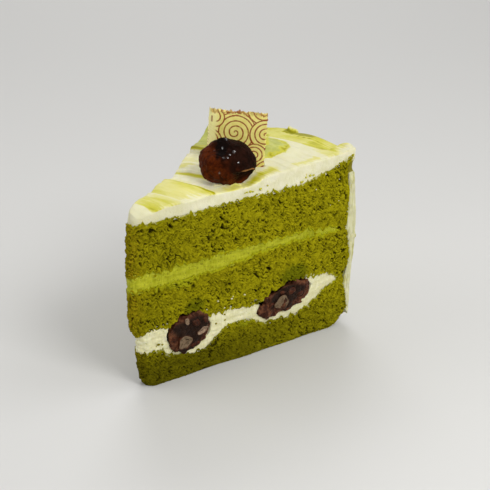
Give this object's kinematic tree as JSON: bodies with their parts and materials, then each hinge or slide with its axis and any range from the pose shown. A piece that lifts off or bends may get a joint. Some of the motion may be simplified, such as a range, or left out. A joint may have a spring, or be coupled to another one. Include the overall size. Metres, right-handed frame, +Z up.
{
  "type": "cake slice",
  "caption": "Wedge of matcha layer cake with white cream, adzuki bean paste, marbled icing, a glazed chestnut and a thin printed chocolate plaque.",
  "frame": {"origin": "middle of the bounding box's base, on the flat underside of the bottom sponge", "axes": "+X from the pointed tip to the round iced back along the middle of the wedge, +Y towards the cut face away from the picture's viewer, +Z up"},
  "size_m": [0.1202, 0.0732, 0.1114],
  "materials": {
    "matcha_sponge": "olive green crumb with small dark pores",
    "adzuki_paste": "dark red-brown moist bean paste with whole beans",
    "white_cream": "soft whipped cream",
    "matcha_cream": "soft yellow-green cream",
    "icing": "spread cream marbled with yellow-green streaks",
    "plaque_chocolate": "pale yellow chocolate printed with brown spirals",
    "chestnut_glaze": "dark red-brown syrup glaze"
  },
  "bodies": {
    "root": {"sponge_bottom": "matcha_sponge", "sponge_middle": "matcha_sponge", "sponge_top": "matcha_sponge", "adzuki_inner": "adzuki_paste", "adzuki_outer": "adzuki_paste", "cream_white": "white_cream", "cream_matcha": "matcha_cream", "icing": "icing", "plaque": "plaque_chocolate", "chestnut": "chestnut_glaze"}
  },
  "joints": []
}
